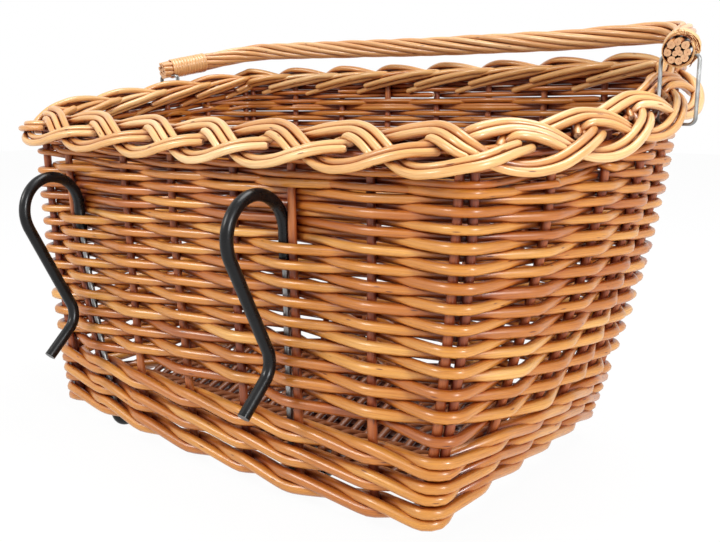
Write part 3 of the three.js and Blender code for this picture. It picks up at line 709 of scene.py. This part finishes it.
# Base: sticks along the basket, and one thin weaver to and fro across them.
BASE_MATS = (base_mat, cut_mat)
BASE_STICKS = 6
STICK_R, STICK_POINTS = 3.5, 12
MIDDLE = 3.95 + STICK_R
stick_y = []
for i in range(BASE_STICKS):
    name = f"base_stick_{i + 1}"
    low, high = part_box(name)
    sink = Sink()
    y = (low.y + high.y) / 2 / MM - SHIFT[1]
    stick_y.append(y)
    x = np.linspace(low.x / MM, high.x / MM, STICK_POINTS)
    path = np.stack([x, np.full_like(x, y), np.full_like(x, MIDDLE)], 1)
    rod(sink, path, np.linspace(STICK_R, 3.2, STICK_POINTS), rng.uniform(0.3, 0.7), sides=10)
    sink.build(f"base_stick_rod_{i + 1}", BASE_MATS, "basket", [name])
sink = Sink()
BASE_ROWS = 54
BASE_PITCH = 269.0 / (BASE_ROWS - 1)
BASE_WEAVER_R, BASE_WEAVER_REACH = 2.35, 5.4
points = []
for row in range(BASE_ROWS):
    x = (row - (BASE_ROWS - 1) / 2) * BASE_PITCH
    order = stick_y if row % 2 == 0 else stick_y[::-1]
    knots = []
    for i, y in enumerate(order):
        stick = i if row % 2 == 0 else BASE_STICKS - 1 - i
        side = 1 if (row + stick) % 2 == 0 else -1
        knots.append((x, y, MIDDLE + side * BASE_WEAVER_REACH))
    if row < BASE_ROWS - 1:
        edge = order[-1]
        beyond = edge + math.copysign(BASE_WEAVER_REACH, edge)
        knots.append((x + BASE_PITCH / 2, beyond, MIDDLE))
    points += knots
points = np.array(points)
fine = []
for here, following in zip(points[:-1], points[1:]):
    for t in (0.0, 0.2, 0.4, 0.6, 0.8):
        p = lerp(here, following, t)
        p[2] = lerp(here[2], following[2], smooth(t))
        fine.append(p)
rod(sink, np.array(fine), BASE_WEAVER_R, 0.5, ref=RIGHT, sides=7)
sink.build("base_weaver_rod", BASE_MATS, "basket", ["base_weaver"])


# Border path: a centripetal spline through the stakes' heads, moved out and up.
def spline(points, per):
    points = np.asarray(points)
    n = len(points)
    out = []
    for i in range(n):
        p = [points[(i + k - 1) % n] for k in range(4)]
        t = [0.0]
        for k in range(3):
            t.append(t[-1] + math.sqrt(np.linalg.norm(p[k + 1] - p[k])))
        for u in np.linspace(t[1], t[2], per, endpoint=False):
            a = [((t[k + 1] - u) * p[k] + (u - t[k]) * p[k + 1]) / (t[k + 1] - t[k]) for k in range(3)]
            b = [((t[k + 2] - u) * a[k] + (u - t[k]) * a[k + 1]) / (t[k + 2] - t[k]) for k in range(2)]
            out.append(((t[2] - u) * b[0] + (u - t[1]) * b[1]) / (t[2] - t[1]))
    return np.array(out)


BORDER_OUT, BORDER_UP = 5.5, 16.0
SPLINE_STEPS = 40
heads = []
for index, pair in enumerate(stations):
    for k, stake in enumerate(pair):
        head = stake_point(stake, stake[2])
        heads.append(head + outward_at(index, stake[2], k) * BORDER_OUT + UP * BORDER_UP)
line = spline(heads, SPLINE_STEPS)
steps = np.linalg.norm(np.roll(line, -1, 0) - line, axis=1)
shares = np.concatenate([[0], np.cumsum(steps)])
shares /= shares[-1]
looped = np.concatenate([line, line[:1]])


def on_border(share):
    share = share % 1
    return np.array([np.interp(share, shares, looped[:, c]) for c in range(3)])


TILT = math.radians(38)
NEAR = 0.002


def border_frame(share):
    """The border's middle there, and the directions across the plait and off its face."""
    centre = on_border(share)
    along = on_border(share + NEAR) - on_border(share - NEAR)
    along[2] = 0
    along = unit(along)
    out = np.array([along[1], -along[0], 0.0])
    across = out * math.cos(TILT) - UP * math.sin(TILT)
    lift = out * math.sin(TILT) + UP * math.cos(TILT)
    return centre, across, lift


# The eyes of the plait on the hook side are not even; round the ends and the back they are.
REPEATS = 24
EYES = [-171.0, -121.5, -65.5, -13.0, 36.0, 89.5, 141.0, 184.0]
GRID, FRONT_DEPTH = 2400, 12
grid = np.arange(GRID) / GRID
places = np.array([on_border(share) for share in grid])
front = np.abs(places[:, 1] + RIM_FRONT + BORDER_OUT) < FRONT_DEPTH
eye_shares = []
for x in EYES:
    miss = np.where(front, np.abs(places[:, 0] - x), 1e9)
    eye_shares.append(grid[miss.argmin()])
eye_shares = [s - 1 if s > 0.5 else s for s in eye_shares]
rest = REPEATS - len(EYES) + 1
last_eye, next_lap = eye_shares[-1], eye_shares[0] + 1
eye_shares += [lerp(last_eye, next_lap, (k + 1) / rest) for k in range(rest)]
eye_shares = np.array(eye_shares)


def share_at_repeat(t):
    """Where a repeat of the plait lies, as a share of the way round the border."""
    laps = math.floor(t / REPEATS)
    return laps + np.interp(t - laps * REPEATS, np.arange(REPEATS + 1), eye_shares)


# One rod of the plait, by repeats from its bend: where it lies across the plait, and how high.
# It comes up from inside, runs along the top edge, bends down under the rising pair, bellies
# along the bottom edge, rises over the next bundle, and is cut at the bend after that.
EYE_PLACE = 0.72
COURSE = [
    (-0.94, -7.5, -7.5),
    (-0.80, -9.5, -4.5),
    (-0.62, -10.6, -2.2),
    (-0.42, -11.2, 0.2),
    (-0.18, -12.0, 1.9),
    (0.00, -11.6, 2.5),
    (0.14, -9.2, 2.5),
    (0.30, -4.6, 2.1),
    (0.46, 0.6, 0.2),
    (0.62, 5.6, -2.2),
    (0.78, 9.6, -2.5),
    (0.94, 12.2, -1.7),
    (1.12, 13.4, -0.3),
    (1.30, 12.8, 1.0),
    (1.50, 10.4, 2.2),
    (1.70, 7.0, 2.3),
    (1.86, 4.0, 1.2),
    (2.00, 1.2, -0.6),
    (2.14, -1.8, -2.4),
]
# Two more rods go over the top edge and down inside, past the next stakes.
TAIL = [
    (1.80, 1.5, -3.0),
    (1.92, -5.5, -3.2),
    (2.05, -10.5, -3.6),
    (2.25, -13.4, -5.2),
    (2.60, -13.2, -7.6),
    (3.00, -10.2, -9.8),
    (3.40, -6.2, -12.0),
    (3.75, -2.6, -14.2),
]
# One more rod lies along the inside of the top edge and closes it.
LINER = [
    (1.90, -7.5, -3.4),
    (2.10, -11.2, -2.9),
    (2.40, -12.8, -2.7),
    (2.80, -13.2, -3.2),
    (3.10, -12.8, -4.6),
    (3.40, -11.4, -6.8),
]


def eased(values, places, t):
    """A smooth curve through the course's values."""
    slopes = np.gradient(values, places)
    i = int(np.clip(np.searchsorted(places, t) - 1, 0, len(places) - 2))
    span = places[i + 1] - places[i]
    u = (t - places[i]) / span
    a, b = values[i], values[i + 1]
    return (
        (2 * u**3 - 3 * u**2 + 1) * a
        + (u**3 - 2 * u**2 + u) * span * slopes[i]
        + (3 * u**2 - 2 * u**3) * b
        + (u**3 - u**2) * span * slopes[i + 1]
    )


REPEAT_STEPS = 36
PLAIT_HALF, CROWN, EDGE_DROP = 13, 1.0, 2.2


def plait_rod(course, repeat, first, last, spread):
    """A rod of the bundle that bends at this repeat. spread moves it sideways in the plait's face."""
    at, side, height = (np.array(c) for c in zip(*course))
    turns = np.linspace(first, last, int((last - first) * REPEAT_STEPS))
    core, lifts = [], []
    for t in turns:
        centre, across, lift = border_frame(share_at_repeat(repeat + t - EYE_PLACE))
        lateral = eased(side, at, t)
        droop = CROWN - EDGE_DROP * min(abs(lateral) / PLAIT_HALF, 1.0) ** 2
        core.append(centre + across * lateral + lift * (eased(height, at, t) + droop))
        lifts.append(lift)
    core, lifts = np.array(core), np.array(lifts)
    ahead = unit(np.gradient(core, axis=0))
    sideways = unit(np.cross(ahead, lifts))
    return core + sideways * spread, lifts


# The rods of one repeat: course, first and last place, and spread. The third comes up from
# under the bend of the other two.
BORDER_R = 2.25
BORDER_MATS = (border_mat, cut_mat)
THIRD_SPREAD, THIRD_SUNK = 6.9, 3.6
RODS = [
    (COURSE, -0.94, 2.12, 2.35),
    (COURSE, -0.94, 2.09, -2.35),
    (COURSE, -0.10, 0.50, THIRD_SPREAD),
    (TAIL, 1.80, 3.75, 2.0),
    (TAIL, 1.84, 3.45, -2.0),
    (LINER, 1.90, 3.40, 0.0),
]
for strand in range(3):
    sink = Sink()
    for number in range(REPEATS // 3):
        repeat = number * 3 + strand
        base_tint = rng.normal(0.55, 0.15)
        for course, first, last, spread in RODS:
            if spread != THIRD_SPREAD:
                last -= rng.choice([0.0, 0.0, 0.08])
            path, lifts = plait_rod(course, repeat, first, last, spread + rng.uniform(-0.2, 0.2))
            if spread == THIRD_SPREAD:
                sunk = np.clip(1 - np.linspace(0, 1, len(path)) / 0.3, 0, 1) ** 2
                path = path - lifts * (THIRD_SUNK * sunk)[:, None]
            radius = tapered(path, BORDER_R * rng.uniform(0.9, 1.04))
            tint = base_tint + rng.normal(0, 0.12)
            # Tail and liner rods lie inside the top edge, and get some painted inside shade.
            inner = 0.0 if course is COURSE else 0.4
            rod(sink, path, radius, tint, ref=lifts, sides=9, inner=inner, round_ends=True)
    name = f"border_strand_{'abc'[strand]}"
    sink.build(f"{name}_rods", BORDER_MATS, "basket", [name])


# Hooks.
def arc(cx, cz, radius, start, stop, count):
    angles = np.linspace(start, stop, count + 1)
    return [np.array([cx + radius * math.cos(a), cz + radius * math.sin(a)]) for a in angles]


KNEE_R, KNEE_REACH = 14, 17


def hook_profile():
    """The hook's (reach, height) points: over the bar, down to the knee, and its tip."""
    slant, tip = math.radians(26), math.radians(43)
    over = arc(HOOK_R, HOOK_TOP, HOOK_R, math.pi, -slant, 40)
    down = np.array([-math.sin(slant), -math.cos(slant)])
    outward = np.array([math.cos(slant), -math.sin(slant)])
    to_knee = over[-1][0] + KNEE_R * outward[0] - (KNEE_REACH + KNEE_R)
    knee_start = over[-1] + down * to_knee / math.sin(slant)
    centre = knee_start + outward * KNEE_R
    knee = arc(centre[0], centre[1], KNEE_R, math.pi - slant, math.pi * 1.5 - tip, 16)
    straight = [lerp(over[-1], knee_start, t) for t in (0.2, 0.4, 0.6, 0.8)]
    tipward = np.array([math.cos(tip), -math.sin(tip)])
    return over + straight + knee + [knee[-1] + tipward * d for d in (7, 14, 22)]


def rounded_route(corners, radius, closed=False, count=10):
    out = []
    n = len(corners)
    for i, corner in enumerate(corners):
        if not closed and i in (0, n - 1):
            out.append(corner)
            continue
        arriving = unit(corner - corners[i - 1])
        leaving = unit(corners[(i + 1) % n] - corner)
        turn = math.acos(np.clip(arriving @ leaving, -1, 1))
        start = corner - arriving * radius * math.tan(turn / 2)
        inward = unit(leaving - arriving * (leaving @ arriving))
        centre = start + inward * radius
        for k in range(count + 1):
            angle = turn * k / count
            out.append(centre - inward * radius * math.cos(angle) + arriving * radius * math.sin(angle))
    return out


# Each rod runs under the base as a skid, up inside the wall, and out over the bar as a hook.
SKID_Z = SLEEVE_R - SKID_DEPTH
SKID_BEND, REAR_BARE = 8, 14.0
# HOOK_SHARE draws the hook in, so that it stays inside the box of its solid.
HOOK_SHARE = 0.975
STEEL, SLEEVE = (steel_mat, steel_mat), (sleeve_mat, sleeve_mat)
profile = hook_profile()
for hook in HOOKS:
    side_name, lean = hook[0], hook[3]
    foot = rod_point(hook, 0)
    rear = np.array([foot[0], BASE_DEPTH / 2, SKID_Z])
    rear_end = np.array([foot[0], BASE_DEPTH / 2, 0.5])
    bottom = np.array([foot[0], foot[1], SKID_Z])
    above = rod_point(hook, SKID_BEND + SKID_Z + 2)
    skid = rounded_route([rear_end, rear, bottom, above], SKID_BEND)
    wall = [rod_point(hook, z) for z in np.linspace(6, HOOK_TOP - 3, 22)]
    x, y, _ = rod_point(hook, HOOK_TOP)
    curve = []
    for share, (reach, z) in zip(np.linspace(0, 1, len(profile)), profile):
        curve.append(np.array([x + lean * share, y - reach * HOOK_SHARE, z]))
    sink = Sink()
    rod(sink, np.array(skid + wall + curve), ROD_R, ref=RIGHT, sides=12)
    name = f"hook_rod_{side_name}"
    sink.build(f"hook_steel_{side_name}", STEEL, "basket", [name])

    sink = Sink()
    direction = unit(curve[-1] - curve[-2])
    sleeved = [p for p in wall if p[2] >= SLEEVE_FROM] + curve[:-1] + [curve[-1] + direction * 1.5]
    rod(sink, np.array(sleeved), SLEEVE_R, ref=RIGHT, sides=16)
    name = f"hook_sleeve_{side_name}"
    sink.build(f"hook_cover_{side_name}", SLEEVE, "basket", [name])

    sink = Sink()
    back = rear - np.array([0, REAR_BARE, 0])
    bend = skid[-12:-1]
    straight = [lerp(back, bend[0], t) for t in (0, 0.25, 0.5, 0.75)]
    rod(sink, np.array(straight + bend), SLEEVE_R, ref=RIGHT, sides=16)
    name = f"foot_sleeve_{side_name}"
    sink.build(f"foot_cover_{side_name}", SLEEVE, "basket", [name])

# Links: doubled wires round the border and through the handle's arms.
WIRE_R, WIRE_HALF, BAR_DROP = 0.85, 1.1, 3.2
for side_name in ("right", "left"):
    low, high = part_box(f"handle_link_{side_name}")
    low, high = np.array(low) / MM - SHIFT, np.array(high) / MM - SHIFT
    y = (low[1] + high[1]) / 2
    x0, x1 = low[0] + WIRE_HALF, high[0] - WIRE_HALF
    z0, z1 = low[2] + WIRE_HALF, high[2] - BAR_DROP
    sink = Sink()
    for at in (y - WIRE_R, y + WIRE_R):
        corners = [np.array([x, at, z]) for x, z in ((x0, z0), (x1, z0), (x1, z1), (x0, z1))]
        loop = np.array(rounded_route(corners, 3.5, closed=True))
        rod(sink, loop, WIRE_R, ref=np.array([0, 1.0, 0]), sides=8, closed=True)
    name = f"handle_link_{side_name}"
    sink.build(f"link_wire_{side_name}", STEEL, "basket", [name])

# Handle: eight rods twisted round a core of three, bent to a bow in one plane, with a slight
# sag.
HANDLE_HEIGHT, HANDLE_DEPTH = 253.0, 76.5
ARM_CORNER, ARM_BEND, TAIL_LENGTH = 188.0, 26, 6
ROUTE_STEP, RIGHT_TAIL_IN = 6, 1.6
joint = next(j for j in frame["joints"] if j["name"] == "handle_hinge")
pivot = np.array(joint["pos_m"]) / MM - SHIFT
low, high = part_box("handle_link_right")
arm_reach = (low.x + high.x) / 2 / MM
rise = HANDLE_HEIGHT - pivot[2]
lean_angle = math.atan2(rise, HANDLE_DEPTH)
bow = math.hypot(rise, HANDLE_DEPTH)
arm_end = np.array([arm_reach, 0, 0])
arm_corner = np.array([ARM_CORNER, bow, 0])
arm_way = unit(arm_corner - arm_end)
flip = np.array([-1.0, 1, 1])
tail = arm_end - arm_way * TAIL_LENGTH


def to_wall(p):
    """From the handle's plane to the wall's frame."""
    c, s = math.cos(lean_angle), math.sin(lean_angle)
    x, y, z = (np.asarray(p)[..., i] for i in range(3))
    return np.stack([x, y * c - z * s, y * s + z * c], -1) + pivot


corners = [tail, arm_corner, arm_corner * flip, tail * flip]
route = np.array(rounded_route(corners, ARM_BEND, count=14))
dense = []
for p, q in zip(route[:-1], route[1:]):
    pieces = max(1, int(np.linalg.norm(q - p) / ROUTE_STEP))
    dense += [lerp(p, q, k / pieces) for k in range(pieces)]
route = np.array(dense + [route[-1]])
# How far the bundle leaves its plane, by its place along the basket.
SAG_AT = [-215.0, -188.0, -120.0, 0.0, 110.0, 188.0, 215.0]
SAG = [2.8, 0.8, -0.4, -3.0, -3.8, -1.8, 0.4]
route[:, 2] += np.interp(route[:, 0], SAG_AT, SAG)
route[:, 0] -= RIGHT_TAIL_IN * np.clip((route[:, 0] - 190) / 22, 0, 1)
travel = np.concatenate([[0], np.cumsum(np.linalg.norm(np.diff(route, axis=0), axis=1))])
forward = unit(np.gradient(route, axis=0))
flat = unit(UP - forward * forward[:, 2:])
side_way = np.cross(forward, flat)
sink = Sink()
TWIST = 210.0
HANDLE_RODS = 8
HANDLE_REACH, HANDLE_ROD_R = 4.95, 2.1
CORE_RODS, CORE_REACH, CORE_R = 3, 1.5, 1.5
for i in range(HANDLE_RODS + CORE_RODS):
    core = i >= HANDLE_RODS
    start = i / HANDLE_RODS if not core else (i - HANDLE_RODS) / CORE_RODS
    reach = CORE_REACH if core else HANDLE_REACH
    radius = CORE_R if core else HANDLE_ROD_R * rng.uniform(0.92, 1.04)
    angle = 2 * np.pi * (travel / TWIST + start) + 0.14 * np.sin(travel / 37 + i)
    radial = np.cos(angle)[:, None] * flat + np.sin(angle)[:, None] * side_way
    path = route + radial * reach
    rod(sink, to_wall(path), radius, rng.normal(0.55, 0.16), ref=to_wall(radial) - pivot, sides=9)
sink.build("handle_rods", (handle_mat, cut_mat), "handle", ["handle_bail"])

# Lashings: fine cane wound round the left end, and a wide band round the right end.
# Each row: end, where it starts and stops along the handle, turns, and the cane's width.
LASHINGS = (("right", 0.3, 28.0, 2.7, 9.6), ("left", 6.0, 40.0, 12.0, 2.9))
LASHING_REACH = {"left": 7.2, "right": 7.9}
CANE_HALF = 0.6
BAND_LAYERS, BAND_SWELL = (0.0, 0.34, 0.67, 1.0), 3.0
SWELL_WAY = 0.45 * math.pi
FIBRES, FIBRE_R = 26, 0.28
TURN_STEPS = 20
for side_name, first, last, turns, width in LASHINGS:
    count = int(turns * TURN_STEPS)
    t = np.linspace(0, 1, count)
    place = first + width / 2 + t * (last - first - width)
    if side_name == "left":
        place = travel[-1] - place
    centre, up, beside = (
        np.stack([np.interp(place, travel, v[:, c]) for c in range(3)], 1)
        for v in (route, flat, side_way)
    )
    angle = t * turns * 2 * np.pi + 1.0
    radial = np.cos(angle)[:, None] * up + np.sin(angle)[:, None] * beside
    uneven = rng.normal(0, 0.08, count)
    swell = np.zeros(count)
    if side_name == "right":
        outer = (1 + np.cos(angle - SWELL_WAY)) / 2
        swell += BAND_SWELL * outer * np.sin(math.pi * np.clip(t * 1.1, 0, 1))
    sink = Sink()
    ref = to_wall(radial) - pivot
    flatness = width / 2 / CANE_HALF
    for layer in BAND_LAYERS if side_name == "right" else (1.0,):
        path = centre + radial * (LASHING_REACH[side_name] + uneven + swell * layer)[:, None]
        rod(sink, to_wall(path), CANE_HALF, 0.7, ref=ref, sides=12, aspect=flatness, squareness=0.7)
    if side_name == "right":
        # Frayed fibres stand off the band near the cut ends.
        for _ in range(FIBRES):
            turn = rng.uniform(-0.7, 2.3)
            k = int(rng.integers(0, 14))
            outward = math.cos(turn) * up[k] + math.sin(turn) * beside[k]
            off = outward * (LASHING_REACH["right"] + 0.8)
            root = route[0] + forward[0] * rng.uniform(0.5, 9) + off
            aside = np.cross(forward[0], outward) * rng.uniform(-0.8, 1.0)
            sweep = unit(aside + outward * 0.5 - forward[0] * rng.uniform(-0.3, 0.7))
            length = rng.uniform(2.5, 5.5)
            u = np.linspace(0, 1, 5)[:, None]
            fibre = root + sweep * u * length - outward * u**2 * length * 0.35
            rod(sink, to_wall(fibre), FIBRE_R, 0.9, sides=5)
    mats = (cane_mat, cut_mat) if side_name == "right" else (handle_mat, cut_mat)
    name = f"handle_lashing_{side_name}"
    sink.build(f"lashing_cane_{side_name}", mats, "handle", [name])


# Stage, lamps and camera.
FLOOR_GLOW = 0.955


def stage_material():
    material, tree, shader = fresh("pale_floor")
    shader.inputs["Base Color"].default_value = (0.96, 0.96, 0.96, 1)
    shader.inputs["Roughness"].default_value = 0.7
    glow = node(tree, "ShaderNodeEmission")
    glow.inputs["Color"].default_value = (1, 1, 1, 1)
    glow.inputs["Strength"].default_value = 1.0
    path = node(tree, "ShaderNodeLightPath")
    seen = computed(tree, "MAXIMUM", path.outputs["Is Camera Ray"], path.outputs["Is Glossy Ray"])
    seen = computed(tree, "MULTIPLY", seen, FLOOR_GLOW)
    blend = node(tree, "ShaderNodeMixShader")
    tree.links.new(seen, blend.inputs[0])
    tree.links.new(shader.outputs[0], blend.inputs[1])
    tree.links.new(glow.outputs[0], blend.inputs[2])
    output = next(n for n in tree.nodes if n.type == "OUTPUT_MATERIAL")
    tree.links.new(blend.outputs[0], output.inputs[0])
    return material


bpy.ops.mesh.primitive_plane_add(size=8, location=(0, 0, 0))
floor = bpy.context.active_object
floor.name = "floor"
floor.data.materials.append(stage_material())
floor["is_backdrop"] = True

world = bpy.data.worlds.new("studio")
bpy.context.scene.world = world
world.use_nodes = True
tree = world.node_tree
background = next(n for n in tree.nodes if n.type == "BACKGROUND")
background.inputs["Color"].default_value = (1, 1, 1, 1)
path = node(tree, "ShaderNodeLightPath")
# The camera and reflections see white. Everything else gets less light.
WORLD_LIGHT = 0.42
mirrored = computed(
    tree, "MAXIMUM", path.outputs["Is Glossy Ray"], path.outputs["Is Transmission Ray"]
)
seen = computed(tree, "MAXIMUM", path.outputs["Is Camera Ray"], mirrored)
strength = computed(tree, "ADD", computed(tree, "MULTIPLY", seen, 1 - WORLD_LIGHT), WORLD_LIGHT)
tree.links.new(strength, background.inputs["Strength"])


def lamp(name, location, target, size, power, color=(1, 1, 1)):
    data = bpy.data.lights.new(name, "AREA")
    data.shape = "RECTANGLE"
    data.size, data.size_y = size
    data.energy = power
    data.color = color
    obj = bpy.data.objects.new(name, data)
    bpy.context.scene.collection.objects.link(obj)
    obj.location = location
    way = Vector(np.array(target) - np.array(location))
    obj.rotation_euler = way.to_track_quat("-Z", "Y").to_euler()


lamp("key", (-0.9, -1.5, 1.3), (0, 0, 0.12), (0.6, 0.5), 22, (1.0, 0.97, 0.92))
lamp("top", (0.3, 0.3, 1.6), (0, 0, 0.15), (1.0, 0.8), 20)
lamp("right", (1.7, -0.6, 0.8), (0, 0, 0.12), (0.28, 0.35), 19)

CAMERA_AT = np.array([362.1, -414.17, 202.3])
CAMERA_AZIMUTH, CAMERA_DOWN = 38.2, 10.9
camera_data = bpy.data.cameras.new("camera")
camera_data.lens = 41.5
camera_data.sensor_width = 36
camera_data.clip_start = 0.01
camera = bpy.data.objects.new("camera", camera_data)
bpy.context.scene.collection.objects.link(camera)
camera.location = tuple((CAMERA_AT + SHIFT) * MM)
camera.rotation_euler = (math.radians(90 - CAMERA_DOWN), 0, math.radians(CAMERA_AZIMUTH))
bpy.context.scene.camera = camera
bpy.context.scene.view_settings.view_transform = "Standard"

low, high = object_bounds()
